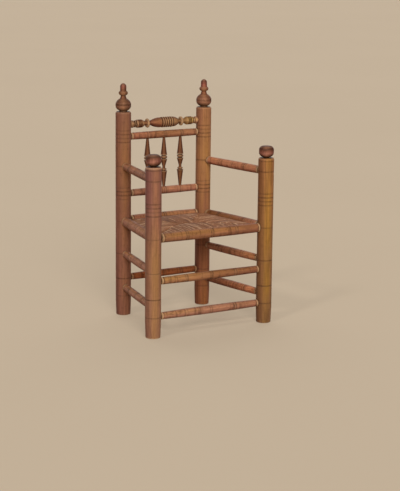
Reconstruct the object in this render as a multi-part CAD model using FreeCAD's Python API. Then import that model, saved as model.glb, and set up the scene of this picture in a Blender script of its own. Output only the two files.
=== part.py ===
import FreeCAD, Part
import math
import os

# A turned armchair with a rush seat. Lengths are in millimetres and Z is up from the floor.
# The chair faces -Y. Left and right are as seen from the front.

V = FreeCAD.Vector
UP = V(0, 0, 1)
same_point = 1e-6

# Plan of the four posts, centre to centre. The seat is wider at the front.
front_post_spacing = 572.0
rear_post_spacing = 420.0
side_post_spacing = 426.0

# Posts
post_diameter = 71.0
front_post_height = 755.0
rear_post_height = 940.0
post_top_round = 8.0
foot_diameter = 66.5
foot_taper_height = 70.0
foot_edge_round = 3.0

# Heights of the rail axes. Rails that meet in one post are staggered so their tenons miss.
front_lower_height = 92.0
front_upper_height = 249.0
stretcher_stagger = 40.5
seat_rail_height = 440.0
arm_below_post_top = 61.0
crest_below_post_top = 60.0
upper_rail_below_crest = 55.0
lower_rail_above_seat = 124.5

# Diameters of the plain rails, at the middle of the length and at the ends
front_stretcher_middle = 37.5
front_stretcher_end = 32.0
side_stretcher_middle = 35.5
side_stretcher_end = 31.5
rear_stretcher_middle = 34.0
rear_stretcher_end = 31.0
arm_middle = 38.0
arm_end = 34.5
spindle_rail_middle = 35.5
spindle_rail_end = 32.5
seat_rail_middle = 45.0
seat_rail_end = 42.0
shoulder_round = 3.0

# Round tenons and their bored mortises
rail_tenon_diameter = 22.0
seat_tenon_diameter = 23.0
crest_tenon_diameter = 20.0
tenon_length = 30.0
tenon_chamfer = 1.5
mortise_clearance = 0.1
mortise_end_gap = 1.0

# Score lines cut with the point of a chisel. All posts are marked from one layout stick, and
# the front ones have a line near the top as well.
score_width = 2.0
score_depth = 0.9
score_group_count = 4
score_group_pitch = 17.8
score_group_lift = 4.0
top_score_drop = 14.0
ring_pair_gap = 11.0
end_ring_inset = 12.0
ring_stations = (0.25, 0.5, 0.75)

# Crest rail, from the post inward. The bellies take the length that is left, and the
# rings sit to the right of the middle, so the right belly is the shorter one.
crest_bead_length = 17.0
crest_bead_diameter = 35.0
crest_collar_length = 5.0
crest_collar_diameter = 32.0
crest_groove_length = 2.5
crest_groove_diameter = 26.0
crest_vase_shoulder = 8.0
crest_vase_land = 20.0
crest_vase_taper = 20.0
crest_vase_diameter = 38.0
crest_vase_round = 6.0
crest_vase_fall = 1.5
crest_vase_lines = 3
crest_vase_line_pitch = 7.0
crest_neck_length = 7.0
crest_neck_diameter = 17.5
crest_disc_length = 10.0
crest_disc_diameter = 43.0
crest_disc_swell = 5.0
crest_belly_diameter = 46.0
crest_belly_fall = 0.1
crest_ring_count = 5
crest_ring_pitch = 11.2
crest_ring_diameter = 49.0
crest_ring_groove = 41.0
crest_ring_offset = 10.5

# Spindles, from the lower rail upward. Their two cones take the length that is left.
spindle_spacing = 86.0
spindle_end_diameter = 12.5
spindle_belly_diameter = 31.0
spindle_collar_diameter = 26.0
spindle_waist_diameter = 13.5
spindle_groove_diameter = 17.0
spindle_collar_length = 6.0
spindle_cove_length = 4.0
spindle_waist_length = 7.0
spindle_urn_length = 33.0
spindle_groove_length = 4.0
spindle_bead_length = 11.5
spindle_bead_swell = 3.0
spindle_top_over_foot = 6.0
spindle_edge_round = 5.0
spindle_edge_fall = 1.25
spindle_tenon_length = 12.0

# Finials on the rear posts, from the post upward
finial_base_diameter = 36.0
finial_base_height = 4.0
finial_ball_diameter = 71.0
finial_ball_lower = 24.0
finial_ball_band = 7.0
finial_ball_upper = 23.5
finial_ball_rise = 3.4
finial_shoulder_diameter = 31.0
finial_neck_diameter = 24.0
finial_neck_height = 15.0
finial_ring_diameter = 42.5
finial_ring_height = 19.5
finial_tip_diameter = 29.0
finial_tip_straight = 19.0
finial_tip_dome = 15.0
knob_tenon_diameter = 22.0
knob_tenon_length = 26.0

# Grips on the front posts, from the post upward
pommel_base_diameter = 28.0
pommel_base_height = 3.0
pommel_diameter = 67.0
pommel_lower = 20.0
pommel_band = 12.0
pommel_upper = 17.0
pommel_top_diameter = 31.0

# Rush seat woven on a loose frame of laths, let into grooves in the seat rails
seat_groove_depth = 10.0
seat_groove_height = 12.0
seat_clearance = 0.3
seat_crown = 6.0
lath_cover = 4.0
lath_width = 30.0
lath_thickness = 5.0

post_radius = post_diameter / 2
rear_y = side_post_spacing / 2
arm_height = front_post_height - arm_below_post_top
crest_height = rear_post_height - crest_below_post_top
upper_rail_height = crest_height - upper_rail_below_crest
lower_rail_height = seat_rail_height + lower_rail_above_seat
spindle_length = upper_rail_height - lower_rail_height - spindle_rail_middle
side_lower_height = front_lower_height + stretcher_stagger
side_upper_height = front_upper_height + stretcher_stagger
rear_stretcher_height = side_lower_height + stretcher_stagger

posts = {
    "front_post_left": V(-front_post_spacing / 2, -rear_y, 0),
    "front_post_right": V(front_post_spacing / 2, -rear_y, 0),
    "rear_post_left": V(-rear_post_spacing / 2, rear_y, 0),
    "rear_post_right": V(rear_post_spacing / 2, rear_y, 0),
}


class Turning:
    """Outline of a turned piece from axis to axis, given as radius and height along the axis."""

    def __init__(self, height):
        self.start = V(0, 0, height)
        self.here = self.start
        self.edges = []

    def line(self, radius, height):
        there = V(radius, 0, height)
        if not there.isEqual(self.here, same_point):
            self.edges.append(Part.makeLine(self.here, there))
            self.here = there

    def arc(self, radius, height, flat_at_end):
        """Arc that runs parallel to the axis at one of its ends."""
        there = V(radius, 0, height)
        flat = there if flat_at_end else self.here
        other = self.here if flat_at_end else there
        across = other.x - flat.x
        rise = other.z - flat.z
        bend = (across ** 2 + rise ** 2) / (2 * abs(across))
        half_angle = math.atan2(abs(rise), bend - abs(across)) / 2
        via_x = flat.x + math.copysign(bend, across) * (1 - math.cos(half_angle))
        via_z = flat.z + math.copysign(bend, rise) * math.sin(half_angle)
        self.edges.append(Part.Arc(self.here, V(via_x, 0, via_z), there).toShape())
        self.here = there

    def swell(self, radius, height):
        """Bulging curve, parallel to the axis at its wider end."""
        self.arc(radius, height, radius > self.here.x)

    def hollow(self, radius, height):
        """Hollow curve, parallel to the axis at its narrower end."""
        self.arc(radius, height, radius < self.here.x)

    def bow(self, radius, height, rise):
        """Arc whose middle stands out by a rise from the straight line between its ends."""
        there = V(radius, 0, height)
        chord = there - self.here
        outward = V(chord.z, 0, -chord.x).normalize()
        middle = (self.here + there) * 0.5 + outward * rise
        self.edges.append(Part.Arc(self.here, middle, there).toShape())
        self.here = there

    def dome(self, height):
        """Rounded end, a quarter of an ellipse from here to the axis."""
        top = V(0, 0, height)
        rise = height - self.here.z
        longer, shorter = (top, self.here) if rise > self.here.x else (self.here, top)
        ellipse = Part.Ellipse(longer, shorter, V(0, 0, self.here.z))
        self.edges.append(Part.ArcOfEllipse(ellipse, 0, math.pi / 2).toShape())
        self.here = top

    def bead(self, radius, height):
        """Bead that swells to a radius and comes back to the present one."""
        foot = self.here.x
        self.swell(radius, (self.here.z + height) / 2)
        self.swell(foot, height)

    def score(self, radius, height):
        """Line along the surface up to a V-shaped score line centred at a height."""
        self.line(radius, height - score_width / 2)
        self.line(radius - score_depth, height)
        self.line(radius, height + score_width / 2)

    def tenon_below(self, diameter):
        """Tenon that ends at height zero."""
        end = self.here.z
        self.line(diameter / 2 - tenon_chamfer, end)
        self.line(diameter / 2, end + tenon_chamfer)
        self.line(diameter / 2, 0)

    def tenon_above(self, diameter, length):
        shoulder = self.here.z
        self.line(diameter / 2, shoulder)
        self.line(diameter / 2, shoulder + length - tenon_chamfer)
        self.line(diameter / 2 - tenon_chamfer, shoulder + length)

    def solid(self):
        self.line(0, self.here.z)
        self.edges.append(Part.makeLine(self.here, self.start))
        face = Part.Face(Part.Wire(self.edges))
        return face.revolve(V(0, 0, 0), UP, 360)


def along(shape, start, direction):
    placed = shape.copy()
    placed.Placement = FreeCAD.Placement(start, FreeCAD.Rotation(UP, direction))
    return placed


def plain_rail(length, middle, end, tenon, stations):
    """Barrelled rail with a tenon at each end, scored near the ends and in pairs between them."""
    marks = [end_ring_inset, length - end_ring_inset]
    for station in stations:
        marks.append(station * length - ring_pair_gap / 2)
        marks.append(station * length + ring_pair_gap / 2)
    turning = Turning(-tenon_length)
    turning.tenon_below(tenon)
    turning.line(end / 2 - shoulder_round, 0)
    turning.swell(end / 2, shoulder_round)
    for mark in sorted(marks):
        from_middle = 2 * mark / length - 1
        turning.score(middle / 2 - (middle - end) / 2 * from_middle ** 2, mark)
    turning.line(end / 2, length - shoulder_round)
    turning.swell(end / 2 - shoulder_round, length)
    turning.tenon_above(tenon, tenon_length)
    return turning.solid()


def crest_end(length):
    """One end of the crest rail, from its tenon to the rings."""
    groove = crest_groove_diameter / 2
    neck = crest_neck_diameter / 2
    disc = crest_disc_diameter / 2
    turning = Turning(-tenon_length)
    turning.tenon_below(crest_tenon_diameter)
    turning.line(groove, 0)
    at = crest_bead_length
    turning.bead(crest_bead_diameter / 2, at)
    at += crest_groove_length
    turning.line(groove, at)
    at += crest_collar_length
    turning.bead(crest_collar_diameter / 2, at)
    at += crest_groove_length
    turning.line(groove, at)
    at += crest_vase_shoulder
    turning.swell(crest_vase_diameter / 2, at)
    at += crest_vase_land
    for line in range(crest_vase_lines):
        step = line - (crest_vase_lines - 1) / 2
        turning.score(crest_vase_diameter / 2, at - crest_vase_land / 2 + step * crest_vase_line_pitch)
    turning.line(crest_vase_diameter / 2, at)
    turning.swell(crest_vase_diameter / 2 - crest_vase_fall, at + crest_vase_round)
    at += crest_vase_taper
    turning.line(neck, at)
    at += crest_neck_length
    turning.line(neck, at)
    turning.line(disc - crest_disc_swell, at)
    at += crest_disc_length
    turning.bead(disc, at)
    turning.line(neck, at)
    at += crest_neck_length
    turning.line(neck, at)
    turning.swell(crest_belly_diameter / 2, length - crest_belly_fall * (length - at))
    turning.swell(crest_ring_groove / 2, length)
    return turning.solid()


def crest_rail(length):
    """Both ends and the rings between them, turned from one length of wood."""
    ring_length = crest_ring_count * crest_ring_pitch
    left = (length - ring_length) / 2 + crest_ring_offset
    right = length - left - ring_length
    rings = Turning(left)
    rings.line(crest_ring_groove / 2, left)
    for ring in range(crest_ring_count):
        rings.bead(crest_ring_diameter / 2, left + (ring + 1) * crest_ring_pitch)
    far_end = crest_end(right).mirror(V(0, 0, 0), UP)
    far_end.translate(V(0, 0, length))
    return crest_end(left).fuse([rings.solid(), far_end])


def spindle():
    end = spindle_end_diameter / 2
    belly = spindle_belly_diameter / 2
    edge = belly - spindle_edge_fall
    collar = spindle_collar_diameter / 2
    waist = spindle_waist_diameter / 2
    groove = spindle_groove_diameter / 2
    between_cones = spindle_collar_length + spindle_cove_length + spindle_waist_length
    between_cones += spindle_urn_length + 3 * spindle_groove_length + spindle_bead_length
    turning = Turning(-spindle_tenon_length)
    turning.tenon_below(spindle_end_diameter)
    at = (spindle_length - between_cones - spindle_top_over_foot) / 2
    turning.line(edge, at - spindle_edge_round)
    turning.swell(belly, at)
    turning.line(groove, at)
    at += spindle_groove_length
    turning.line(groove, at)
    turning.line(collar - spindle_edge_fall, at)
    at += spindle_collar_length
    turning.bead(collar, at)
    at += spindle_cove_length
    turning.hollow(waist, at)
    at += spindle_waist_length
    turning.line(waist, at)
    at += spindle_urn_length
    turning.line(edge, at - spindle_edge_round)
    turning.swell(belly, at)
    turning.line(groove, at)
    at += spindle_groove_length
    turning.line(groove, at)
    turning.line(belly - spindle_bead_swell, at)
    at += spindle_bead_length
    turning.bead(belly, at)
    turning.line(groove, at)
    at += spindle_groove_length
    turning.line(groove, at)
    turning.line(belly, at)
    turning.swell(edge, at + spindle_edge_round)
    turning.line(end, spindle_length)
    turning.tenon_above(spindle_end_diameter, spindle_tenon_length)
    return turning.solid()


def finial():
    ball = finial_ball_diameter / 2
    tip = finial_tip_diameter / 2
    turning = Turning(-knob_tenon_length)
    turning.tenon_below(knob_tenon_diameter)
    turning.line(finial_base_diameter / 2, 0)
    at = finial_base_height
    turning.line(finial_base_diameter / 2, at)
    at += finial_ball_lower
    turning.swell(ball, at)
    turning.score(ball, at + score_width / 2)
    at += finial_ball_band
    turning.score(ball, at - score_width / 2)
    at += finial_ball_upper
    turning.bow(finial_shoulder_diameter / 2, at, finial_ball_rise)
    at += finial_neck_height
    turning.hollow(finial_neck_diameter / 2, at)
    turning.line(tip, at)
    at += finial_ring_height
    turning.bead(finial_ring_diameter / 2, at)
    at += finial_tip_straight
    turning.line(tip, at)
    at += finial_tip_dome
    turning.dome(at)
    return turning.solid()


def pommel():
    turning = Turning(-knob_tenon_length)
    turning.tenon_below(knob_tenon_diameter)
    turning.line(pommel_base_diameter / 2, 0)
    at = pommel_base_height
    turning.line(pommel_base_diameter / 2, at)
    at += pommel_lower
    turning.swell(pommel_diameter / 2, at)
    at += pommel_band
    turning.line(pommel_diameter / 2, at)
    at += pommel_upper
    turning.swell(pommel_top_diameter / 2, at)
    return turning.solid()


def layout_marks():
    """Heights of the score lines that all the posts share."""
    marks = [front_lower_height, rear_stretcher_height, side_upper_height, seat_rail_height, arm_height]
    for rail_height in (lower_rail_height, upper_rail_height):
        for line in range(score_group_count):
            step = line - (score_group_count - 1) / 2
            marks.append(rail_height + score_group_lift + step * score_group_pitch)
    return marks


def post(height, marks):
    """Round post with a tapered foot, a rounded top, score lines and a socket on top."""
    foot = foot_diameter / 2
    turning = Turning(0)
    turning.line(foot - foot_edge_round, 0)
    turning.swell(foot, foot_edge_round)
    turning.line(post_radius, foot_taper_height)
    for mark in sorted(marks):
        if mark < height - post_top_round - score_width:
            turning.score(post_radius, mark)
    turning.line(post_radius, height - post_top_round)
    turning.swell(post_radius - post_top_round, height)
    depth = knob_tenon_length + mortise_end_gap
    bore = knob_tenon_diameter / 2 + mortise_clearance
    socket = Part.makeCylinder(bore, depth, V(0, 0, height - depth), UP)
    return turning.solid().cut(socket)


def slab(plan, bottom, top):
    face = Part.Face(Part.makePolygon(plan + plan[:1]))
    face.translate(V(0, 0, bottom))
    return face.extrude(V(0, 0, top - bottom))


def seat_plan(front, sides, rear):
    """Corners of a seat plan inset from the rail axes by three distances, front left first."""
    slope = (front_post_spacing - rear_post_spacing) / 2 / side_post_spacing
    lean = math.sqrt(1 + slope ** 2)
    corners = []
    for inset in (front, side_post_spacing - rear):
        half_width = front_post_spacing / 2 - slope * inset - lean * sides
        y = inset - rear_y
        corners.append((V(-half_width, y, 0), V(half_width, y, 0)))
    (front_left, front_right), (rear_left, rear_right) = corners
    return [front_left, front_right, rear_right, rear_left]


def lath_plans(outer, inner):
    """Plans of the four laths between two insets. Each runs the full length of its side."""
    front = seat_plan(outer, outer, side_post_spacing - inner)
    rear = seat_plan(side_post_spacing - inner, outer, outer)
    outside = seat_plan(outer, outer, outer)
    inside = seat_plan(outer, inner, outer)
    left = [outside[0], inside[0], inside[3], outside[3]]
    right = [inside[1], outside[1], outside[2], inside[2]]
    return {"front": front, "rear": rear, "left": left, "right": right}


def rush_quarter(on_axis, rail_way, inward, edge, plan):
    """One quarter of the rush: flat in the groove, then a low pillow up to the middle seam."""
    half = seat_groove_height / 2 - seat_clearance
    face_of_rail = seat_rail_middle / 2
    crest_line = (face_of_rail + rear_y) / 2
    length = 2 * front_post_spacing
    start = on_axis - rail_way * (length / 2) + V(0, 0, seat_rail_height)

    def at(distance, height):
        return start + inward * distance + V(0, 0, height)

    top = Part.Arc(at(face_of_rail, half), at(crest_line, half + seat_crown), at(rear_y, half))
    low = Part.Arc(at(rear_y, -half), at(crest_line, -half - seat_crown), at(face_of_rail, -half))
    outline = [
        Part.makeLine(at(edge, -half), at(edge, half)),
        Part.makeLine(at(edge, half), at(face_of_rail, half)),
        top.toShape(),
        Part.makeLine(at(rear_y, half), at(rear_y, -half)),
        low.toShape(),
        Part.makeLine(at(face_of_rail, -half), at(edge, -half)),
    ]
    body = Part.Face(Part.Wire(outline)).extrude(rail_way * length)
    reach = seat_groove_height + seat_crown
    return body.common(slab(plan, seat_rail_height - reach, seat_rail_height + reach))


def rush_pad(edge):
    """Four quarters that meet on mitred seams, two running to each end of a middle seam."""
    front_left, front_right, rear_right, rear_left = seat_plan(edge, edge, edge)
    seam_end = seat_plan(rear_y, rear_y, rear_y)[1].x
    seam_right = V(max(0, seam_end), 0, 0)
    seam_left = -seam_right
    seam = [seam_right, seam_left] if seam_end > 0 else [seam_left]
    left_way = (posts["rear_post_left"] - posts["front_post_left"]).normalize()
    right_way = (posts["rear_post_right"] - posts["front_post_right"]).normalize()
    quarters = [
        (V(0, -rear_y, 0), V(1, 0, 0), V(0, 1, 0), [front_left, front_right] + seam),
        (V(0, rear_y, 0), V(1, 0, 0), V(0, -1, 0), [rear_right, rear_left] + seam[::-1]),
        (posts["front_post_left"], left_way, left_way.cross(UP), [rear_left, front_left, seam_left]),
        (posts["front_post_right"], right_way, UP.cross(right_way),
         [front_right, rear_right, seam_right]),
    ]
    pads = [rush_quarter(start, way, inward, edge, plan) for start, way, inward, plan in quarters]
    return pads[0].fuse(pads[1:]).removeSplitter()


def build_rails():
    """Every rail between two posts, with the mortises that they need in each post."""
    across_front = ("front_post_left", "front_post_right")
    across_rear = ("rear_post_left", "rear_post_right")
    along_left = ("front_post_left", "rear_post_left")
    along_right = ("front_post_right", "rear_post_right")
    clear_rear = rear_post_spacing - post_diameter
    under_spindles = (0.5 - spindle_spacing / clear_rear, 0.5, 0.5 + spindle_spacing / clear_rear)
    front_stretcher = (front_stretcher_middle, front_stretcher_end, rail_tenon_diameter, ring_stations)
    side_stretcher = (side_stretcher_middle, side_stretcher_end, rail_tenon_diameter, ring_stations)
    rear_stretcher = (rear_stretcher_middle, rear_stretcher_end, rail_tenon_diameter, ring_stations)
    arm = (arm_middle, arm_end, rail_tenon_diameter, ring_stations)
    spindle_rail = (spindle_rail_middle, spindle_rail_end, rail_tenon_diameter, under_spindles)
    seat_rail = (seat_rail_middle, seat_rail_end, seat_tenon_diameter, ring_stations)
    rails = {
        "stretcher_front_lower": (across_front, front_lower_height, front_stretcher),
        "stretcher_front_upper": (across_front, front_upper_height, front_stretcher),
        "stretcher_left_lower": (along_left, side_lower_height, side_stretcher),
        "stretcher_left_upper": (along_left, side_upper_height, side_stretcher),
        "stretcher_right_lower": (along_right, side_lower_height, side_stretcher),
        "stretcher_right_upper": (along_right, side_upper_height, side_stretcher),
        "stretcher_rear": (across_rear, rear_stretcher_height, rear_stretcher),
        "seat_rail_front": (across_front, seat_rail_height, seat_rail),
        "seat_rail_rear": (across_rear, seat_rail_height, seat_rail),
        "seat_rail_left": (along_left, seat_rail_height, seat_rail),
        "seat_rail_right": (along_right, seat_rail_height, seat_rail),
        "arm_left": (along_left, arm_height, arm),
        "arm_right": (along_right, arm_height, arm),
        "lower_spindle_rail": (across_rear, lower_rail_height, spindle_rail),
        "upper_spindle_rail": (across_rear, upper_rail_height, spindle_rail),
        "crest_rail": (across_rear, crest_height, None),
    }
    mortises = {name: [] for name in posts}
    locking = []
    for name, (ends, height, sizes) in rails.items():
        first = posts[ends[0]] + UP * height
        last = posts[ends[1]] + UP * height
        way = (last - first).normalize()
        length = first.distanceToPoint(last) - post_diameter
        shape = plain_rail(length, *sizes) if sizes else crest_rail(length)
        nodes[name] = along(shape, first + way * post_radius, way)
        tenon = sizes[2] if sizes else crest_tenon_diameter
        bottom = post_radius - tenon_length - mortise_end_gap
        for post_name, centre, into_rail in ((ends[0], first, way), (ends[1], last, -way)):
            start = centre + into_rail * bottom
            radius = tenon / 2 + mortise_clearance
            bore = Part.makeCylinder(radius, post_diameter, start, into_rail)
            mortises[post_name].append(bore)
            if name in ("seat_rail_left", "seat_rail_right"):
                locking.append(bore)
    # The side seat rails go in last, and their mortises notch and lock the other two rails' tenons.
    for name in ("seat_rail_front", "seat_rail_rear"):
        nodes[name] = nodes[name].cut(locking)
    return mortises


def build_posts(mortises):
    for name, foot in posts.items():
        rear = name.startswith("rear")
        side = name.split("_")[-1]
        height = rear_post_height if rear else front_post_height
        top_line = [] if rear else [height - top_score_drop]
        nodes[name] = along(post(height, layout_marks() + top_line), foot, UP).cut(mortises[name])
        top = foot + UP * height
        if rear:
            nodes["finial_" + side] = along(finial(), top, UP)
        else:
            nodes["pommel_" + side] = along(pommel(), top, UP)


def build_spindles():
    radius = spindle_end_diameter / 2 + mortise_clearance
    depth = spindle_tenon_length + mortise_end_gap
    for name, x in (("left", -spindle_spacing), ("middle", 0), ("right", spindle_spacing)):
        foot = V(x, rear_y, lower_rail_height + spindle_rail_middle / 2)
        head = foot + UP * spindle_length
        nodes["spindle_" + name] = along(spindle(), foot, UP)
        bores = {
            "lower_spindle_rail": Part.makeCylinder(radius, 2 * depth, foot - UP * depth, UP),
            "upper_spindle_rail": Part.makeCylinder(radius, 2 * depth, head + UP * depth, -UP),
        }
        for rail, bore in bores.items():
            nodes[rail] = nodes[rail].cut(bore)


def build_seat():
    groove_inset = seat_rail_middle / 2 - seat_groove_depth
    groove_bottom = seat_rail_height - seat_groove_height / 2
    groove_plan = seat_plan(groove_inset, groove_inset, groove_inset)
    groove = slab(groove_plan, groove_bottom, groove_bottom + seat_groove_height)
    for side in ("front", "rear", "left", "right"):
        nodes["seat_rail_" + side] = nodes["seat_rail_" + side].cut(groove)

    notch_radius = post_radius + seat_clearance
    notches = []
    for foot in posts.values():
        notches.append(Part.makeCylinder(notch_radius, rear_post_height, foot, UP))

    edge = groove_inset + seat_clearance
    lath_edge = edge + lath_cover
    low = seat_rail_height - lath_thickness / 2
    high = seat_rail_height + lath_thickness / 2
    plans = lath_plans(lath_edge, lath_edge + lath_width)
    for side, crossing, cut_low, cut_high in (
        ("front", ("left", "right"), seat_rail_height, high),
        ("rear", ("left", "right"), seat_rail_height, high),
        ("left", ("front", "rear"), low, seat_rail_height),
        ("right", ("front", "rear"), low, seat_rail_height),
    ):
        laps = [slab(plans[other], cut_low, cut_high) for other in crossing]
        nodes["seat_lath_" + side] = slab(plans[side], low, high).cut(laps + notches)

    wide_plans = lath_plans(lath_edge - seat_clearance, lath_edge + lath_width + seat_clearance)
    channels = []
    for plan in wide_plans.values():
        channels.append(slab(plan, low - seat_clearance, high + seat_clearance))
    nodes["rush_seat"] = rush_pad(edge).cut(notches).cut(channels)


nodes = {}
build_posts(build_rails())
build_spindles()
build_seat()

os.makedirs("parts", exist_ok=True)
for name, shape in nodes.items():
    if len(shape.Solids) != 1 or not shape.isValid():
        raise ValueError(name + " is not one valid solid")
    shape.Solids[0].exportStep("parts/" + name + ".step")
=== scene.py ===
import math
import random
from typing import NamedTuple

import bpy
import numpy as np
from mathutils import Matrix, Vector, noise
from mathutils.bvhtree import BVHTree


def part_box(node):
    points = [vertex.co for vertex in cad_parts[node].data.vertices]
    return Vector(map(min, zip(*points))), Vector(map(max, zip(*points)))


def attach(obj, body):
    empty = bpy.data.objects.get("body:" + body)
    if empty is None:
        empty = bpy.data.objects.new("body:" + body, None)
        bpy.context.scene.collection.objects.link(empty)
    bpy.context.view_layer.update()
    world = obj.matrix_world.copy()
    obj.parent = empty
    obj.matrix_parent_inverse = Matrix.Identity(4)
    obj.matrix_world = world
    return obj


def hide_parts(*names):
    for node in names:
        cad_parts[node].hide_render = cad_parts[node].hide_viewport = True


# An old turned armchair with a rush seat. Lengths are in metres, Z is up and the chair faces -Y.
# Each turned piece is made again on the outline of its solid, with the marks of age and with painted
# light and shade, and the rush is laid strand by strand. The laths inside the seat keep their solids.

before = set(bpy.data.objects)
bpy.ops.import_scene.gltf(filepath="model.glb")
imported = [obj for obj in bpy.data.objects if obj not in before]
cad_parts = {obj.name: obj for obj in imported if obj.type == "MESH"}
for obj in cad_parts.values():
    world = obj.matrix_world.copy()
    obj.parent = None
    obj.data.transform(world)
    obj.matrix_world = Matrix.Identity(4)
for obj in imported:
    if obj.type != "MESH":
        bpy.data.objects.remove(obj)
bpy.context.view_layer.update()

up = Vector((0, 0, 1))
front = Vector((0, -1, 0))
ends = ("front", "rear")
sides = ("left", "right")

# Camera
camera_place = Vector((-3.3823, -5.8945, 1.7984))
camera_yaw = math.radians(30.377)
camera_pitch = math.radians(12.093)
camera_roll = math.radians(0.582)
lens_in_pixels = 1531.94
image_height = 491
sensor_size = 36.0

# Light. A lamp has an azimuth, 0 at the chair's front, an elevation, the share of its colour that
# a surface square to the light shows, and a softness. Angles are in degrees.
lamps = {
    "key": (-20.0, 27.0, 0.77, 30.0),
    "side": (-65.0, 45.0, 0.2, 8.0),
    "back": (160.0, 30.0, 0.48, 90.0),
}
wall_level = 0.4
ceiling_level = 0.14
floor_size = 120.0
floor_colour = (200, 180, 154)
backdrop_colour = (192, 174, 151)
floor_cloud = 1.5
floor_glow = 0.5

# Turning
outline_step = 0.00025
outline_tolerance = 0.00002
longest_ring_gap = 0.004
measuring_distance = 1.0
sharp_edge = math.radians(38)
post_segments = 88
rail_segments = 56
spindle_segments = 48
knob_segments = 80

# Dirt in score lines and between beads, and bare wood on edges
groove_search = 0.0022
groove_full_depth = 0.0009
groove_halo = 0.0030
faintest_score = 0.4
faintest_bead_gap = 0.9
edge_window = 0.004
edge_full_wear = 0.0012

# Dirt, painted shade and wear where a rail meets its posts, and dirt and painted shade on the edge
# of a post's top, under its knob
body_share = 0.7
joint_dirt_and_shade_level = 0.65
joint_dirt_and_shade_reach = 0.0045
joint_ring = 0.0095
joint_fade = 0.0015
side_joint_stretch = 1.7
post_top_dirt_and_shade = 0.9
post_top_fade = 0.003

# Hollows and dents of age, always inward
hollow_depth = 0.0005
hollow_size = 0.11
dent_depth = 0.0003
dent_size = 0.018
dent_threshold = 0.25
deepest_share_of_radius = 1 / 8

# Grain. Each piece is cut from its own place along one log, so that no two are alike.
pith_distance = 0.05
log_length = 50.0
grain_runout = 0.018

# The pale face of each kind of turned wood, away from which painted shade darkens its sides, and the
# face of the painted highlight, a stripe of gold down the uprights, in degrees
post_painted_light_azimuth = 5.0
post_painted_highlight_azimuth = -12.0
rail_painted_light_azimuth, rail_painted_light_elevation = -30.0, 30.0
small_painted_light_azimuth, small_painted_light_elevation = -30.0, 12.0

# Wood colours. A tint multiplies the colour below it. Away from its pale face a turned piece gets
# the painted shade of its quarters, from one angle to another, in degrees round from that face.
# The dark of dirt in lines, and also painted shade at the rail ends and on the post tops under the
# knobs
dirt_and_shade_colour = (54, 26, 13)
bare_wood = (206, 168, 124)
dark_tint = (0.36, 0.31, 0.28, 1)
pale_tint = (1.5, 1.46, 1.42, 1)
# The gold tint is a painted highlight, laid down the face of a piece that is turned towards the light
painted_highlight_tint = (1.08, 1.13, 0.66, 1)
large_painted_shade = ((0.64, 0.57, 0.65, 1), 37, 90)
small_painted_shade = ((0.54, 0.47, 0.49, 1), 4, 42)
tone_wander = 0.08
smoother_by, rougher_by = 0.1, 0.12
right_finial_lift = 1.12

# Seat
seat_groove_half_height = 0.006
seat_groove_depth = 0.010
rush_edge_gap = 0.0003
rush_half_thickness = 0.0057
rush_crown = 0.006
lath_inner_edge = 0.0468
strand_pitch = 0.0053
strand_half_width = 0.0028
narrowest_strand, widest_strand = 0.92, 1.06
strand_thin = 0.00145
strand_thick = 0.0023
strand_thickening = 0.012
strand_segments = 10
strand_ring_gap = 0.003
fewest_strand_rings = 4
strand_twist_pitch = 0.021
strand_twist_depth = 0.12
strand_dive = 0.009
strand_seam_rise = 0.12
strand_shortest = 0.012
strand_post_distance = 0.0365
strand_wobble = 0.0005
strand_wobble_rate = 45.0
leaf_lots = 30.0
packing_rows = 14
packing_strands = 4
packing_squareness = 0.3
packing_depth = 0.0032

# Rush and lath colours
dark_strand, light_strand = (129, 80, 47), (142, 91, 56)
strand_patch = (132, 92, 58)
dark_streak, pale_streak = (96, 60, 42), (168, 126, 94)
dark_stroke, pale_stroke = (88, 54, 38), (200, 159, 122)
dark_packing, light_packing = (52, 32, 22), (84, 56, 38)
dark_lath, light_lath, lath_streak = (128, 86, 56), (156, 112, 74), (84, 52, 34)


def direction(azimuth, elevation):
    """Unit vector towards an azimuth, in degrees and 0 at the chair's front, and an elevation."""
    around, rise = math.radians(azimuth), math.radians(elevation)
    level = math.cos(rise)
    return Vector((math.sin(around) * level, -math.cos(around) * level, math.sin(rise)))


class Kind(NamedTuple):
    """What turned pieces of one kind share. The faintest is the least dirt that a line holds. The face
    is the side that its painted shade leaves pale.
    """
    slot: str
    segments: int
    faintest: float
    face: Vector


# Ways of the painted light: the face left pale by painted shade, and the painted highlight down
# uprights
post_painted_light = direction(post_painted_light_azimuth, 0)
post_painted_highlight = direction(post_painted_highlight_azimuth, 0)
rail_painted_light = direction(rail_painted_light_azimuth, rail_painted_light_elevation)
small_painted_light = direction(small_painted_light_azimuth, small_painted_light_elevation)

post_kind = Kind("post_wood", post_segments, faintest_score, post_painted_light)
rail_kind = Kind("rail_wood", rail_segments, faintest_score, rail_painted_light)
knob_kind = Kind("knob_wood", knob_segments, faintest_bead_gap, small_painted_light)
crest_kind = Kind("spindle_wood", rail_segments, faintest_bead_gap, small_painted_light)
spindle_kind = Kind("spindle_wood", spindle_segments, faintest_bead_gap, small_painted_light)


def node_points(node):
    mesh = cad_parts[node].data
    points = np.empty(len(mesh.vertices) * 3)
    mesh.vertices.foreach_get("co", points)
    return points.reshape(-1, 3)


def upright_foot(node):
    """Where the axis of an upright node meets the floor."""
    low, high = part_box(node)
    return Vector(((low.x + high.x) / 2, (low.y + high.y) / 2, 0))


posts = {(end, side): upright_foot(f"{end}_post_{side}") for end in ends for side in sides}


def rail_ends(node):
    """The two posts that a rail joins: along a side, or across the front or rear."""
    for side in sides:
        if side in node:
            return posts["front", side], posts["rear", side]
    end = "front" if "front" in node else "rear"
    return posts[end, "left"], posts[end, "right"]


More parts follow.
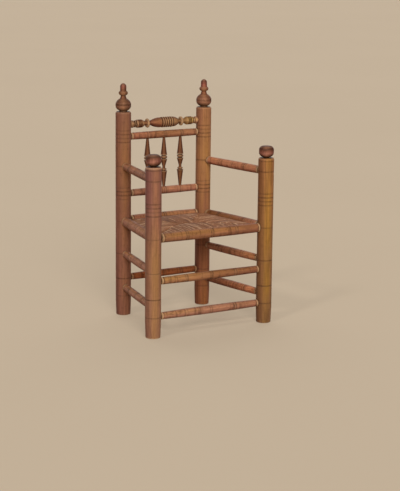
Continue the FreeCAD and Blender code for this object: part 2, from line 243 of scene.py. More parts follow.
def outline(node, start, way, side):
    """Even steps along the axis of a turned node, and its radius there, seen from one side."""
    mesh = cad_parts[node].data
    points = node_points(node)
    along = (points - np.array(start)) @ np.array(way)
    low, high = along.min(), along.max()
    tree = BVHTree.FromPolygons(points.tolist(), [face.vertices[:] for face in mesh.polygons])
    margin = outline_step / 10
    heights = np.linspace(low + margin, high - margin, round((high - low) / outline_step))
    radii = np.empty(len(heights))
    for i, height in enumerate(heights):
        hit = tree.ray_cast(start + way * height + side * measuring_distance, -side)
        radii[i] = measuring_distance - hit[3]
    return heights, radii


def needed_rings(heights, radii):
    """Indices of the fewest steps that keep the outline, none further apart than the longest gap."""
    longest = round(longest_ring_gap / outline_step)
    kept = [0]
    last = len(heights) - 1
    while kept[-1] < last:
        here = kept[-1]
        there = here + 1
        for trial in range(here + 2, min(last, here + longest) + 1):
            straight = np.interp(heights[here:trial], heights[[here, trial]], radii[[here, trial]])
            if np.abs(radii[here:trial] - straight).max() > outline_tolerance:
                break
            there = trial
        kept.append(there)
    return kept


def shifted(values, steps):
    """Values moved along by some steps, with the end value repeated."""
    places = np.clip(np.arange(len(values)) - steps, 0, len(values) - 1)
    return values[places]


def grooves(radii, faintest, dice):
    """Dirt in score lines and between beads: some lines hold more, and it fades over a halo."""
    steps = range(1, round(groove_search / outline_step))
    before = np.max([shifted(radii, step) for step in steps], axis=0)
    after = np.max([shifted(radii, -step) for step in steps], axis=0)
    depth = np.clip((np.minimum(before, after) - radii) / groove_full_depth, 0, 1)
    line = np.cumsum(np.diff((depth > 0).astype(int), prepend=0) > 0)
    hold = np.array([dice.uniform(faintest, 1) for _ in range(line[-1] + 1)])
    depth *= hold[line]
    halo = round(groove_halo / outline_step)
    spread = [shifted(depth, step) * (1 - abs(step) / halo) for step in range(-halo, halo + 1)]
    return np.max(spread, axis=0)


def worn_edges(radii):
    """1 on edges and beads that stand out from the wood beside them."""
    half = round(edge_window / outline_step)
    beside = np.mean([shifted(radii, step) for step in range(-half, half + 1)], axis=0)
    return np.clip((radii - beside) / edge_full_wear, 0, 1)


def joint_marks(heights, radii, stretch):
    """Dirt and painted shade where a rail meets its posts, and the worn ring next to it."""
    body = heights[radii > body_share * radii.max()]
    clear = np.minimum(heights - body[0], body[-1] - heights) / stretch
    dirt = np.clip((joint_dirt_and_shade_reach - clear) / joint_fade, 0, 1)
    ring = np.clip((joint_ring - clear) / joint_fade, 0, 1) * (1 - dirt)
    return dirt * joint_dirt_and_shade_level, ring


def age_marks(kind, heights, radii, way, dice):
    """How much dirt, with painted shade at rail ends and post tops, and how much bare wood there is at
    each step along a piece.
    """
    dirt = grooves(radii, kind.faintest, dice)
    bare = worn_edges(radii)
    if kind is rail_kind:
        along_side = abs(way.y) > abs(way.x)
        end_dirt_and_shade, ring = joint_marks(heights, radii, side_joint_stretch if along_side else 1)
        return np.maximum(dirt, end_dirt_and_shade), np.maximum(bare, ring)
    if kind is post_kind:
        # Dirt and painted shade on the post's top, under its knob
        top_dirt_and_shade = post_top_dirt_and_shade * np.clip(1 - (heights[-1] - heights) / post_top_fade, 0, 1)
        return np.maximum(dirt, top_dirt_and_shade), bare * (1 - top_dirt_and_shade)
    return dirt, bare


def section(radius, segments, groove_floor):
    """Points round a turned section. A seat rail has a groove on its inner side, at angle zero."""
    if groove_floor is None:
        angles = [2 * math.pi * i / segments for i in range(segments)]
        return [(radius * math.cos(angle), radius * math.sin(angle)) for angle in angles]
    half = seat_groove_half_height
    mouth = math.asin(half / radius)
    turn = 2 * (math.pi - mouth) / (segments - 1)
    angles = [mouth + turn * i for i in range(segments)]
    points = [(radius * math.cos(angle), radius * math.sin(angle)) for angle in angles]
    floor = min(groove_floor, math.sqrt(radius ** 2 - half ** 2))
    return points + [(floor, -half), (floor, half)]


def age_hollow(place):
    """How far age has taken the surface in at a place: broad hollows and small dents."""
    broad = 0.5 + 0.5 * noise.noise(place / hollow_size)
    dent = max(0.0, noise.noise(place / dent_size) - dent_threshold)
    return hollow_depth * broad + dent_depth * dent / (1 - dent_threshold)


def mesh_piece(name, vertices, faces, material, attributes):
    """A smooth piece that rides on the chair, with values kept at its points."""
    mesh = bpy.data.meshes.new(name)
    mesh.from_pydata(vertices, [], faces)
    for key, listed in attributes.items():
        values = np.asarray(listed, np.float32)
        if values.ndim == 2:
            attribute = mesh.attributes.new(key, "FLOAT_VECTOR", "POINT")
            attribute.data.foreach_set("vector", values.ravel())
        else:
            attribute = mesh.attributes.new(key, "FLOAT", "POINT")
            attribute.data.foreach_set("value", values)
    mesh.polygons.foreach_set("use_smooth", [True] * len(mesh.polygons))
    mesh.set_sharp_from_angle(angle=sharp_edge)
    mesh.materials.append(material)
    piece = bpy.data.objects.new(name, mesh)
    bpy.context.scene.collection.objects.link(piece)
    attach(piece, "root")
    return piece


def tube_faces(first, rings, around, clockwise=False):
    """Faces of a closed tube of rings, from the index of its first point. The points of a ring go
    round anticlockwise as the tube comes towards the eye, or clockwise."""
    faces = []
    last = first + (rings - 1) * around
    for low in range(first, last, around):
        high = low + around
        for i in range(around):
            j = (i + 1) % around
            if clockwise:
                faces.append((low + i, high + i, high + j, low + j))
            else:
                faces.append((low + i, low + j, high + j, high + i))
    bottom, top = tuple(range(first, first + around)), tuple(range(last, last + around))
    faces += [bottom, top[::-1]] if clockwise else [bottom[::-1], top]
    return faces


def turned(node, kind, material, start, way, side, groove_floor=None):
    """A turned piece on the outline of its node. The side is where the outline is measured."""
    dice = random.Random(node)
    pith_turn = dice.uniform(0, 2 * math.pi)
    pith = Vector((math.cos(pith_turn), math.sin(pith_turn), 0)) * pith_distance
    cut_from = Vector((0, 0, dice.uniform(0, log_length)))
    heights, radii = outline(node, start, way, side)
    kept = needed_rings(heights, radii)
    dirt, bare = age_marks(kind, heights, radii, way, dice)
    first = side if groove_floor is None else -side
    second = way.cross(first)
    # The side that the painted shade leaves pale, and the side that carries the painted highlight
    face = (kind.face - way * kind.face.dot(way)).normalized()
    painted_highlight_face = post_painted_highlight if way == up else face
    vertices, grain, groove, wear, along, turn, stripe = [], [], [], [], [], [], []
    for ring in kept:
        height, radius = heights[ring], radii[ring]
        centre = start + way * height
        for x, y in section(radius, kind.segments, groove_floor):
            place = centre + first * x + second * y
            spoke = first * x + second * y
            inward = min(age_hollow(place + cut_from), radius * deepest_share_of_radius)
            vertices.append(centre + spoke * (1 - inward / radius))
            local = Vector((x, y, height))
            grain.append(local + pith + cut_from + Vector((local.z * grain_runout, 0, 0)))
            groove.append(dirt[ring])
            wear.append(bare[ring])
            along.append(ring / (len(heights) - 1))
            outward = spoke.normalized()
            # Angle round from the pale side, for the painted shade; squareness to the highlight side,
            # for the painted highlight
            turn.append(math.acos(min(1.0, abs(outward.dot(face)))))
            stripe.append(abs(outward.dot(painted_highlight_face)))
    faces = tube_faces(0, len(kept), len(vertices) // len(kept))
    attributes = {"grain": grain, "groove": groove, "wear": wear}
    attributes.update({"along": along, "turn": turn, "stripe": stripe})
    piece = mesh_piece(node + "_turned", vertices, faces, material, attributes)
    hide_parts(node)


def linear(red, green, blue):
    """A colour given as it shows on a screen, 0 to 255 on the sRGB curve, for a shader."""
    def straight(share):
        return share / 12.92 if share < 0.04045 else ((share + 0.055) / 1.055) ** 2.4

    return (straight(red / 255), straight(green / 255), straight(blue / 255), 1)


class Nodes:
    """A node tree, with short ways to add to it."""

    def __init__(self, tree):
        self.tree = tree

    def put(self, socket, value):
        if isinstance(value, bpy.types.NodeSocket):
            self.tree.links.new(value, socket)
        else:
            socket.default_value = value

    def add(self, kind, sockets, **settings):
        made = self.tree.nodes.new("ShaderNode" + kind)
        for key, value in settings.items():
            setattr(made, key, value)
        for socket, value in sockets.items():
            self.put(made.inputs[socket], value)
        return made

    def attribute(self, name, output="Fac"):
        return self.add("Attribute", {}, attribute_name=name).outputs[output]

    def object_place(self):
        return self.add("TexCoord", {}).outputs["Object"]

    def stretch(self, vector, scale):
        return self.add("Mapping", {"Vector": vector, "Scale": scale}).outputs["Vector"]

    def noise(self, vector, scale, detail, roughness, distortion=0.0):
        sockets = {
            "Vector": vector, "Scale": scale, "Detail": detail,
            "Roughness": roughness, "Distortion": distortion,
        }
        return self.add("TexNoise", sockets).outputs["Fac"]

    def span(self, value, low, high, new_low=0.0, new_high=1.0):
        """A value between low and high, moved to lie between the new ones."""
        sockets = {
            "Value": value, "From Min": low, "From Max": high,
            "To Min": new_low, "To Max": new_high,
        }
        return self.add("MapRange", sockets, clamp=True).outputs["Result"]

    def times(self, a, b):
        return self.add("Math", {0: a, 1: b}, operation="MULTIPLY").outputs[0]

    def plus(self, a, b):
        return self.add("Math", {0: a, 1: b}, operation="ADD").outputs[0]

    def mix(self, share, a, b, blend="MIX"):
        settings = {"data_type": "RGBA", "blend_type": blend}
        return self.add("Mix", {0: share, 6: a, 7: b}, **settings).outputs[2]

    def ramp(self, value, tones):
        """Screen colours at given values, blended between them."""
        made = self.add("ValToRGB", {"Fac": value})
        stops = made.color_ramp.elements
        for stop, (place, colour) in zip((stops[0], stops[1]), (tones[0], tones[-1])):
            stop.position = place
            stop.color = linear(*colour)
        for place, colour in tones[1:-1]:
            stops.new(place).color = linear(*colour)
        return made.outputs["Color"]

    def bump(self, height, strength, distance):
        sockets = {"Height": height, "Strength": strength, "Distance": distance}
        return self.add("Bump", sockets).outputs["Normal"]


class Surface(Nodes):
    """The nodes of a new material."""

    def __init__(self, name):
        self.material = bpy.data.materials.new(name)
        self.material.use_nodes = True
        super().__init__(self.material.node_tree)
        self.shader = self.tree.nodes["Principled BSDF"]

    def shade(self, sockets):
        for socket, value in sockets.items():
            self.put(self.shader.inputs[socket], value)


class Finish(NamedTuple):
    """How strongly each mark shows on a wood: the painted highlight, a stripe of gold down its face,
    dark patches, dirt in lines, bare edges, tool marks round it and smudged bands. Then its roughness,
    the painted shade of its quarters and gloss."""
    golden: float
    mottle: float
    lines: float
    wear: float
    tool_marks: float
    roughness: float
    smudge: float = 0.0
    # The quarters are painted shade, darker away from the pale face
    quarters: tuple = large_painted_shade
    gloss: float = 0.12


def wood(name, tones, finish):
    """Old oiled wood: tones along the piece, growth rings, streaks, tool marks, smudges, dirt and
    bare edges, with a painted highlight down its face and painted shade at its quarters."""
    look = Surface(name)
    grain = look.attribute("grain", "Vector")
    rings = look.add(
        "TexWave",
        {"Vector": look.stretch(grain, (1, 1, 0.12)), "Scale": 62.0, "Distortion": 5.0,
         "Detail": 3.0, "Detail Scale": 1.6, "Detail Roughness": 0.6},
        wave_type="RINGS", rings_direction="Z",
    ).outputs["Fac"]
    streaks = look.noise(look.stretch(grain, (1, 1, 0.035)), scale=130.0, detail=5.0, roughness=0.62)
    fibres = look.noise(look.stretch(grain, (1, 1, 0.03)), scale=900.0, detail=3.0, roughness=0.6)
    broad = look.noise(look.stretch(grain, (1, 1, 0.3)), scale=17.0, detail=3.0, roughness=0.5)
    patched = look.stretch(grain, (1, 1, 0.55))
    patches = look.noise(patched, scale=62.0, detail=4.0, roughness=0.6, distortion=0.6)
    marks = look.noise(look.stretch(grain, (0.05, 0.05, 1)), scale=240.0, detail=3.0, roughness=0.7)
    bands = look.noise(look.stretch(grain, (0.15, 0.15, 1)), scale=75.0, detail=3.0, roughness=0.6)

    wander = look.span(broad, 0.3, 0.7, -tone_wander, tone_wander)
    colour = look.ramp(look.plus(look.attribute("along"), wander), tones)
    # The painted highlight: gold down the face that is turned towards the light
    stripe = look.span(look.attribute("stripe"), 0.8, 0.98)
    gold = look.times(stripe, look.span(broad, 0.36, 0.58, finish.golden / 4, finish.golden))
    colour = look.mix(gold, colour, painted_highlight_tint, "MULTIPLY")
    # The painted shade: the quarters, away from the pale face, grow darker
    painted_shade_tint, unshaded_to, full_shade_from = finish.quarters
    quarter = look.span(look.attribute("turn"), math.radians(unshaded_to), math.radians(full_shade_from))
    colour = look.mix(quarter, colour, painted_shade_tint, "MULTIPLY")

    # Each pattern tints the wood from where it begins to where it is full, at most by its strength.
    patterns = (
        (streaks, 0.5, 0.78, 0.55, dark_tint),
        (streaks, 0.46, 0.26, 0.6, pale_tint),
        (rings, 0.55, 1.0, 0.28, dark_tint),
        (fibres, 0.52, 0.75, 0.25, dark_tint),
        (marks, 0.5, 0.7, finish.tool_marks, dark_tint),
        (patches, 0.55, 0.72, finish.mottle, dark_tint),
        (bands, 0.53, 0.64, finish.smudge, dark_tint),
    )
    for pattern, begins, full, strength, tint in patterns:
        colour = look.mix(look.span(pattern, begins, full, 0.0, strength), colour, tint, "MULTIPLY")
    bare = look.span(patches, 0.3, 0.55, finish.wear / 2, finish.wear)
    colour = look.mix(look.times(look.attribute("wear"), bare), colour, linear(*bare_wood))
    # Dirt in the lines, and painted shade at the rail ends and on the post tops
    dirt = look.span(patches, 0.35, 0.6, finish.lines / 2, finish.lines)
    colour = look.mix(look.times(look.attribute("groove"), dirt), colour, linear(*dirt_and_shade_colour))

    uneven = look.plus(look.times(fibres, 0.5), look.times(patches, 0.5))
    smoothest, roughest = finish.roughness - smoother_by, finish.roughness + rougher_by
    relief = look.plus(look.times(rings, 0.25), look.times(streaks, 0.6))
    relief = look.plus(look.times(fibres, 0.5), relief)
    relief = look.plus(relief, look.times(marks, finish.tool_marks))
    look.shade({
        "Base Color": colour,
        "Roughness": look.span(uneven, 0.3, 0.7, smoothest, roughest),
        "Specular IOR Level": finish.gloss,
        "Normal": look.bump(relief, strength=0.35, distance=0.0006),
    })
    return look.material


def rush_fibre():
    """Dried rush leaves, twisted: every strand has its own tone, with streaks along the leaf and
    pale or dark strokes on some strands."""
    look = Surface("rush_fibre")
    leaf = look.attribute("leaf", "Vector")
    tone = look.attribute("tone")
    streaks = look.noise(look.stretch(leaf, (1, 1, 0.05)), scale=1400.0, detail=4.0, roughness=0.6)
    patches = look.noise(look.stretch(leaf, (0.4, 0.4, 1)), scale=60.0, detail=3.0, roughness=0.6)
    strokes = look.noise(look.stretch(leaf, (0.3, 0.3, 1)), scale=17.0, detail=2.0, roughness=0.5)
    colour = look.mix(tone, linear(*dark_strand), linear(*light_strand))
    pale = look.times(look.span(tone, 0.62, 0.7), look.span(strokes, 0.46, 0.52, 0.0, 0.7))
    dark = look.times(look.span(tone, 0.26, 0.16), look.span(strokes, 0.48, 0.56, 0.0, 0.75))
    layers = (
        (look.span(patches, 0.5, 0.75, 0.0, 0.4), strand_patch),
        (look.span(streaks, 0.5, 0.75, 0.0, 0.4), dark_streak),
        (look.span(streaks, 0.42, 0.25, 0.0, 0.25), pale_streak),
        (pale, pale_stroke),
        (dark, dark_stroke),
    )
    for share, over in layers:
        colour = look.mix(share, colour, linear(*over))
    look.shade({
        "Base Color": colour,
        "Roughness": look.span(streaks, 0.3, 0.7, 0.55, 0.8),
        "Specular IOR Level": 0.3,
        "Normal": look.bump(streaks, strength=0.5, distance=0.0004),
    })
    return look.material


def rush_packing():
    """Broken rush stuffed between the layers, seen only as dark between strands."""
    look = Surface("rush_packing")
    chips = look.noise(look.object_place(), scale=420.0, detail=4.0, roughness=0.65)
    look.shade({
        "Base Color": look.mix(chips, linear(*dark_packing), linear(*light_packing)),
        "Roughness": look.span(chips, 0.2, 0.8, 0.75, 0.95),
        "Normal": look.bump(chips, strength=0.5, distance=0.001),
    })
    return look.material


def lath_wood(name, turn):
    """Riven seat lath. The turn brings its length to the Z axis, along which the fibres run."""
    look = Surface(name)
    grain = look.add("Mapping", {"Vector": look.object_place(), "Rotation": turn}).outputs["Vector"]
    streaks = look.noise(look.stretch(grain, (1, 1, 0.04)), scale=260.0, detail=5.0, roughness=0.62)
    patches = look.noise(look.stretch(grain, (1, 1, 0.3)), scale=50.0, detail=3.0, roughness=0.55)
    colour = look.mix(look.span(patches, 0.3, 0.7), linear(*dark_lath), linear(*light_lath))
    colour = look.mix(look.span(streaks, 0.5, 0.75, 0.0, 0.6), colour, linear(*lath_streak))
    look.shade({
        "Base Color": colour,
        "Roughness": look.span(streaks, 0.3, 0.7, 0.6, 0.8),
        "Specular IOR Level": 0.12,
        "Normal": look.bump(streaks, strength=0.5, distance=0.0006),
    })
    return look.material


def floor_paint():
    """Pale matt floor with a faint cloudiness."""
    look = Surface("floor_paint")
    cloud = look.noise(look.object_place(), scale=0.5, detail=3.0, roughness=0.5)
    low = linear(*[value - floor_cloud for value in floor_colour])
    high = linear(*[value + floor_cloud for value in floor_colour])
    look.shade({
        "Base Color": look.mix(look.span(cloud, 0.3, 0.7), low, high),
        "Roughness": 0.9,
        "Specular IOR Level": 0.1,
    })
    seen = look.add("LightPath", {}).outputs["Is Camera Ray"]
    glow = look.add("Emission", {"Color": linear(*backdrop_colour)}).outputs[0]
    blend = {0: look.times(seen, floor_glow), 1: look.shader.outputs[0], 2: glow}
    look.put(look.tree.nodes["Material Output"].inputs[0], look.add("MixShader", blend).outputs[0])
    return look.material


# Tones of the wood, as screen colours at shares of the length. Uprights run from below, and rails
# from left to right or from front to rear.
post_tones = {
    ("front", "left"): (
        (0, (151, 106, 80)), (0.5, (149, 104, 74)), (0.75, (140, 92, 77)), (1, (139, 91, 77)),
    ),
    ("front", "right"): (
        (0, (124, 86, 55)), (0.2, (134, 92, 55)), (0.7, (145, 99, 57)), (1, (150, 100, 60)),
    ),
    ("rear", "left"): (
        (0, (135, 87, 67)), (0.45, (142, 93, 70)), (0.8, (141, 93, 64)), (1, (131, 86, 68)),
    ),
    ("rear", "right"): (
        (0, (140, 84, 52)), (0.4, (143, 90, 66)), (0.7, (164, 114, 69)), (1, (150, 100, 70)),
    ),
}
# The finials and pommels are darker towards their bottoms and tops, painted shade, and paler between, a
# painted highlight
finial_tones_and_shade = (
    (0.2, (80, 51, 36)), (0.34, (156, 108, 82)), (0.48, (118, 78, 57)), (0.62, (132, 85, 58)),
    (0.74, (130, 86, 60)), (0.84, (146, 88, 72)), (0.96, (96, 54, 43)),
)
pommel_tones_and_shade = (
    (0.38, (48, 28, 18)), (0.5, (114, 71, 53)), (0.66, (166, 110, 90)), (0.8, (138, 88, 68)),
    (0.9, (90, 56, 41)), (0.98, (120, 77, 57)),
)
# The left stretchers and seat rail, and the lower back rail, have paler tones: painted light that makes
# up for the shade they stand in
rail_tones = {
    "seat_front": ((0, (146, 99, 68)), (0.4, (154, 104, 70)), (1, (136, 85, 61))),
    "front_gold": ((0, (180, 129, 86)), (0.5, (144, 95, 62)), (1, (134, 83, 60))),
    "front_rose": ((0, (168, 118, 91)), (1, (153, 101, 77))),
    "left": ((0, (165, 111, 84)), (1, (155, 101, 75))),
    "left_arm": ((0, (150, 99, 75)), (1, (151, 95, 65))),
    "right_arm": ((0, (165, 104, 74)), (0.5, (179, 117, 84)), (1, (174, 108, 77))),
    "right_seat": ((0, (176, 115, 90)), (0.5, (130, 80, 51)), (1, (120, 73, 41))),
    "right_low": (
        (0, (190, 120, 80)), (0.35, (192, 121, 84)), (0.65, (138, 83, 56)), (1, (132, 79, 53)),
    ),
    "right_high": (
        (0, (192, 126, 80)), (0.35, (186, 122, 86)), (0.65, (166, 105, 74)), (1, (168, 110, 82)),
    ),
    "back": ((0, (164, 103, 77)), (0.5, (150, 99, 66)), (1, (157, 105, 76))),
    "back_low": ((0, (167, 112, 85)), (0.5, (165, 109, 81)), (1, (174, 115, 88))),
    "rear": ((0, (160, 89, 52)), (0.5, (150, 84, 47)), (1, (144, 82, 46))),
}
crest_tones = (
    (0.1, (148, 104, 71)), (0.2, (160, 113, 78)), (0.3, (120, 71, 50)), (0.4, (150, 96, 66)),
    (0.55, (154, 110, 74)), (0.7, (142, 101, 71)), (0.8, (198, 155, 84)), (0.9, (190, 138, 104)),
)
spindle_tones = ((0.1, (116, 74, 51)), (0.5, (118, 76, 51)), (0.9, (120, 77, 52)))


def lifted(tones, share):
    """Tones with their colours made lighter by a share."""
    return tuple((place, tuple(share * value for value in colour)) for place, colour in tones)


# Finishes
post_finish = Finish(
    golden=0.5, mottle=0.25, lines=0.95, wear=0.2, tool_marks=0.12, roughness=0.52,
)
post_finishes = {
    ("front", "left"): post_finish._replace(golden=0.6, wear=0.7),
    ("front", "right"): post_finish._replace(golden=1.0, lines=1.0, wear=0.15, tool_marks=0.15),
    ("rear", "left"): post_finish._replace(mottle=0.3, lines=0.85),
    ("rear", "right"): post_finish,
}
rail_finish = Finish(
    golden=0.3, mottle=0.75, lines=1.1, wear=0.75, tool_marks=0.15, roughness=0.55, smudge=0.6,
)
# These rails carry a stronger painted highlight
golden_rail_finish = rail_finish._replace(golden=0.6)
golden_rails = ("seat_front", "front_gold", "front_rose", "left", "left_arm")
finial_finish = Finish(
    golden=0.3, mottle=0.35, lines=0.9, wear=0.25, tool_marks=0.3, roughness=0.5,
    quarters=small_painted_shade, gloss=0.05,
)
right_finial_finish = finial_finish._replace(golden=0.2)
pommel_finish = finial_finish._replace(
    golden=0.1, mottle=0.55, wear=0.1, tool_marks=0.2, roughness=0.48,
)
# On the crest and spindles the bare wood on the bead crowns is partly wear and partly painted highlight
crest_finish = finial_finish._replace(golden=0.4, lines=1.4, wear=0.5, tool_marks=0.25)
spindle_finish = finial_finish._replace(
    golden=0.4, mottle=0.45, lines=1.6, wear=0.26, tool_marks=0.2,
)

# Woods
post_woods = {
    (end, side): wood(f"{end}_{side}_wood", post_tones[end, side], post_finishes[end, side])
    for end, side in posts
}
right_finial_tones_and_shade = lifted(finial_tones_and_shade, right_finial_lift)
finial_woods = {
    "left": wood("finial_left_wood", finial_tones_and_shade, finial_finish),
    "right": wood("finial_right_wood", right_finial_tones_and_shade, right_finial_finish),
}
pommel_wood = wood("pommel_wood", pommel_tones_and_shade, pommel_finish)
rail_woods = {
    key: wood(key + "_rail_wood", tones, golden_rail_finish if key in golden_rails else rail_finish)
    for key, tones in rail_tones.items()
}
rail_woods["crest"] = wood("crest_wood", crest_tones, crest_finish)
spindle_wood = wood("spindle_wood", spindle_tones, spindle_finish)

# The wood of each rail
rails = {
    "stretcher_front_lower": "front_rose",
    "stretcher_front_upper": "front_gold",
    "stretcher_rear": "rear",
    "lower_spindle_rail": "back_low",
    "upper_spindle_rail": "back",
    "crest_rail": "crest",
    "seat_rail_front": "seat_front",
    "seat_rail_rear": "back",
    "stretcher_left_lower": "left",
    "stretcher_left_upper": "left",
    "seat_rail_left": "left",
    "arm_left": "left_arm",
    "stretcher_right_lower": "right_low",
    "stretcher_right_upper": "right_high",
    "seat_rail_right": "right_seat",
    "arm_right": "right_arm",
}


def build_posts():
    for (end, side), foot in posts.items():
        away = Vector((math.copysign(1, foot.x), math.copysign(1, foot.y), 0)).normalized()
        turned(f"{end}_post_{side}", post_kind, post_woods[end, side], foot, up, away)
        if end == "rear":
            turned("finial_" + side, knob_kind, finial_woods[side], foot, up, away)
        else:
            turned("pommel_" + side, knob_kind, pommel_wood, foot, up, away)


def build_rails():
    for name, key in rails.items():
        first, last = rail_ends(name)
        low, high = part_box(name)
        level = up * ((low.z + high.z) / 2)
        way = (last - first).normalized()
        outside = way.cross(up)
        if outside.dot(first + last) < 0:
            outside.negate()
        kind = crest_kind if key == "crest" else rail_kind
        is_seat_rail = name.startswith("seat_rail")
        groove_floor = high.z - level.z - seat_groove_depth if is_seat_rail else None
        turned(name, kind, rail_woods[key], first + level, way, outside, groove_floor)


def build_spindles():
    for place in ("left", "middle", "right"):
        node = "spindle_" + place
        turned(node, spindle_kind, spindle_wood, upright_foot(node), up, front)


def smooth_step(value):
    value = min(1.0, max(0.0, value))
    return value * value * (3 - 2 * value)


class Quarter:
    """One quarter of the seat: its rail, the way in from it and how far its strands reach."""

    def __init__(self, name):
        self.start, self.end = rail_ends("seat_rail_" + name)
        self.way = (self.end - self.start).normalized()
        self.inward = self.way.cross(up)
        if self.inward.dot(self.start + self.end) > 0:
            self.inward.negate()
        self.length = (self.end - self.start).length
        low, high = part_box("seat_rail_" + name)
        self.level = (low.z + high.z) / 2
        self.rail_radius = (high.z - low.z) / 2
        self.edge = self.rail_radius - seat_groove_depth + rush_edge_gap

    def place(self, along, inside, height):
        return self.start + self.way * along + self.inward * inside + up * (self.level + height)

    def reach(self, along, quarters):
        """Distance in from the rail axis to the seam, where another rail is as near."""
        foot = self.start + self.way * along
        distances = []
        for other in quarters:
            if other is not self:
                from_other = (foot - other.start).dot(other.inward)
                closing = 1 - self.inward.dot(other.inward)
                distances.append(from_other / closing)
        return min(distances)

    def half_thickness(self, inside, middle):
        """Half the thickness of the seat at a distance in from the rail."""
        span = (middle - self.rail_radius) / 2
        share = (inside - self.rail_radius - span) / span
        return rush_half_thickness + rush_crown * max(0.0, 1 - share ** 2)


class StrandStep(NamedTuple):
    """A place on a strand: in from its rail, along the rail and up, with half the thickness there."""
    inside: float
    along: float
    rise: float
    thick: float


def strand_line(quarter, along, reach, middle, dice):
    """Steps from the seam over the top, round the lath and back underneath."""
    phase = dice.uniform(0, 2 * math.pi)
    depth = reach - quarter.edge
    count = max(fewest_strand_rings, round(depth / strand_ring_gap))
    upper = []
    for i in range(count + 1):
        inside = quarter.edge + strand_thin + depth * i / count
        past_lath = smooth_step((inside - lath_inner_edge) / strand_thickening)
        thick = strand_thin + (strand_thick - strand_thin) * past_lath
        before_seam = smooth_step((reach + strand_thin - inside) / strand_dive)
        rise = quarter.half_thickness(inside, middle) - thick
        rise *= strand_seam_rise + (1 - strand_seam_rise) * before_seam
        sway = strand_wobble * math.sin(phase + inside * strand_wobble_rate)
        upper.append(StrandStep(inside, along + sway, rise, thick))
    edge = StrandStep(quarter.edge, along, 0.0, strand_thin)
    lower = [step._replace(rise=-step.rise) for step in upper]
    return upper[::-1] + [edge] + lower


class Rush:
    """The mesh of one quarter's rush. Each point of a strand has its place on the leaf and a tone."""

    def __init__(self):
        self.vertices, self.faces, self.leaf, self.tone = [], [], [], []

    def add_strand(self, quarter, line, dice):
        """A twisted strand along a line."""
        tone = dice.random()
        width = strand_half_width * dice.uniform(narrowest_strand, widest_strand)
        twist_start = dice.uniform(0, 2 * math.pi)
        lot = dice.uniform(0, leaf_lots)
        places = [quarter.place(step.along, step.inside, step.rise) for step in line]
        travelled = 0.0
        first = len(self.vertices)
        for i, here in enumerate(places):
            ahead = places[min(i + 1, len(places) - 1)] - places[max(i - 1, 0)]
            normal = quarter.way.cross(ahead).normalized()
            if i:
                travelled += (here - places[i - 1]).length
            for k in range(strand_segments):
                angle = 2 * math.pi * k / strand_segments
                turn = 2 * angle - twist_start - 2 * math.pi * travelled / strand_twist_pitch
                bulge = 1 - strand_twist_depth * (0.5 + 0.5 * math.cos(turn))
                across, over = math.cos(angle) * width, math.sin(angle) * line[i].thick
                self.vertices.append(here + (quarter.way * across + normal * over) * bulge)
                twisted = angle - math.pi * travelled / strand_twist_pitch
                leaf_across, leaf_over = math.cos(twisted) * width, math.sin(twisted) * width
                self.leaf.append((leaf_across + lot, leaf_over, travelled))
                self.tone.append(tone)
        self.faces += tube_faces(first, len(places), strand_segments, clockwise=True)

    def add_packing(self, quarter, quarters, middle):
        """Closed pillow of packing between the upper and lower strands of a quarter."""
        columns = round(quarter.length / (packing_strands * strand_pitch))
        rings = []
        for column in range(1, columns):
            along = column * quarter.length / columns
            reach = quarter.reach(along, quarters) - strand_half_width
            depth = reach - lath_inner_edge
            if depth < strand_shortest:
                continue
            ring = []
            for step in range(2 * packing_rows):
                turn = math.pi * step / packing_rows
                inside = lath_inner_edge + depth * (0.5 - 0.5 * math.cos(turn))
                fill = math.copysign(abs(math.sin(turn)) ** packing_squareness, math.sin(turn))
                height = (quarter.half_thickness(inside, middle) - packing_depth) * fill
                ring.append(len(self.vertices))
                self.vertices.append(quarter.place(along, inside, height))
                self.leaf.append((0, 0, 0))
                self.tone.append(0.0)
            rings.append(ring)
        for before, after in zip(rings, rings[1:]):
            for i in range(len(before)):
                self.faces.append((before[i - 1], after[i - 1], after[i], before[i]))
        self.faces.append(tuple(rings[0]))
        self.faces.append(tuple(rings[-1][::-1]))


def build_quarter(name, quarter, quarters, middle, fibre, packing):
    dice = random.Random("rush_" + name)
    rush = Rush()
    strands = round(quarter.length / strand_pitch)
    for number in range(strands):
        along = (number + 0.5) * quarter.length / strands
        reach = quarter.reach(along, quarters)
        post_distance = min(along, quarter.length - along)
        if reach - quarter.edge >= strand_shortest and post_distance >= strand_post_distance:
            rush.add_strand(quarter, strand_line(quarter, along, reach, middle, dice), dice)
    strand_faces = len(rush.faces)
    rush.add_packing(quarter, quarters, middle)
    attributes = {"leaf": rush.leaf, "tone": rush.tone}
    piece = mesh_piece("rush_" + name, rush.vertices, rush.faces, fibre, attributes)
    piece.data.materials.append(packing)
    for face in piece.data.polygons[strand_faces:]:
        face.material_index = 1
    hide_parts("rush_seat")


def build_seat():
    quarters = {name: Quarter(name) for name in ends + sides}
    every = list(quarters.values())
    middle = max(quarter.reach(quarter.length / 2, every) for quarter in every)
    fibre, packing = rush_fibre(), rush_packing()
    for name, quarter in quarters.items():
        build_quarter(name, quarter, every, middle, fibre, packing)
    across = lath_wood("lath_wood_across", (0, -math.pi / 2, 0))
    along = lath_wood("lath_wood_along", (math.pi / 2, 0, 0))
    for name in quarters:
        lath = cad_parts["seat_lath_" + name]
        lath.data.materials.clear()
        lath.data.materials.append(along if name in sides else across)


def sun(name, azimuth, elevation, level, softness):
    light = bpy.data.lights.new(name, "SUN")
    light.energy = level * math.pi
    light.angle = math.radians(softness)
    lamp = bpy.data.objects.new(name, light)
    lamp.rotation_euler = direction(azimuth, elevation).to_track_quat("Z", "Y").to_euler()
    bpy.context.scene.collection.objects.link(lamp)


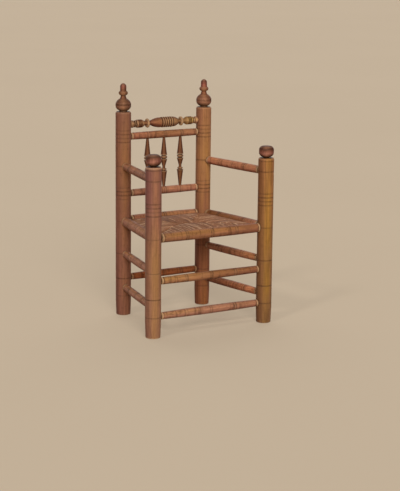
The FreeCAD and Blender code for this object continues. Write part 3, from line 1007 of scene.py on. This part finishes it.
def build_floor():
    half = floor_size / 2
    corners = [(-half, -half, 0), (half, -half, 0), (half, half, 0), (-half, half, 0)]
    mesh = bpy.data.meshes.new("floor")
    mesh.from_pydata(corners, [], [(0, 1, 2, 3)])
    mesh.materials.append(floor_paint())
    floor = bpy.data.objects.new("floor", mesh)
    bpy.context.scene.collection.objects.link(floor)


def build_light():
    """A plain backdrop for the camera, a white room, dimmer above, and three lamps."""
    world = bpy.data.worlds.new("studio")
    world.use_nodes = True
    bpy.context.scene.world = world
    world.node_tree.nodes.clear()
    nodes = Nodes(world.node_tree)
    way = nodes.add("TexCoord", {}).outputs["Generated"]
    rise = nodes.add("SeparateXYZ", {0: way}).outputs["Z"]
    level = nodes.span(rise, 0.0, 1.0, wall_level, ceiling_level)
    room = nodes.add("Background", {"Color": (1, 1, 1, 1), "Strength": level}).outputs[0]
    backdrop = nodes.add("Background", {"Color": linear(*backdrop_colour)}).outputs[0]
    seen = nodes.add("LightPath", {}).outputs["Is Camera Ray"]
    choice = nodes.add("MixShader", {0: seen, 1: room, 2: backdrop}).outputs[0]
    nodes.add("OutputWorld", {"Surface": choice})
    for name, lamp in lamps.items():
        sun(name, *lamp)


def build_camera():
    forward = Vector((
        math.sin(camera_yaw) * math.cos(camera_pitch),
        math.cos(camera_yaw) * math.cos(camera_pitch),
        -math.sin(camera_pitch),
    ))
    level_right = Vector((math.cos(camera_yaw), -math.sin(camera_yaw), 0))
    level_up = level_right.cross(forward)
    right = level_right * math.cos(camera_roll) + level_up * math.sin(camera_roll)
    above = level_up * math.cos(camera_roll) - level_right * math.sin(camera_roll)
    data = bpy.data.cameras.new("camera")
    data.sensor_width = sensor_size
    data.lens = lens_in_pixels * sensor_size / image_height
    camera = bpy.data.objects.new("camera", data)
    turn = Matrix((right, above, -forward)).transposed()
    camera.matrix_world = Matrix.Translation(camera_place) @ turn.to_4x4()
    bpy.context.scene.collection.objects.link(camera)
    bpy.context.scene.camera = camera


build_posts()
build_rails()
build_spindles()
build_seat()
build_floor()
build_light()
build_camera()
bpy.context.scene.view_settings.view_transform = "Standard"
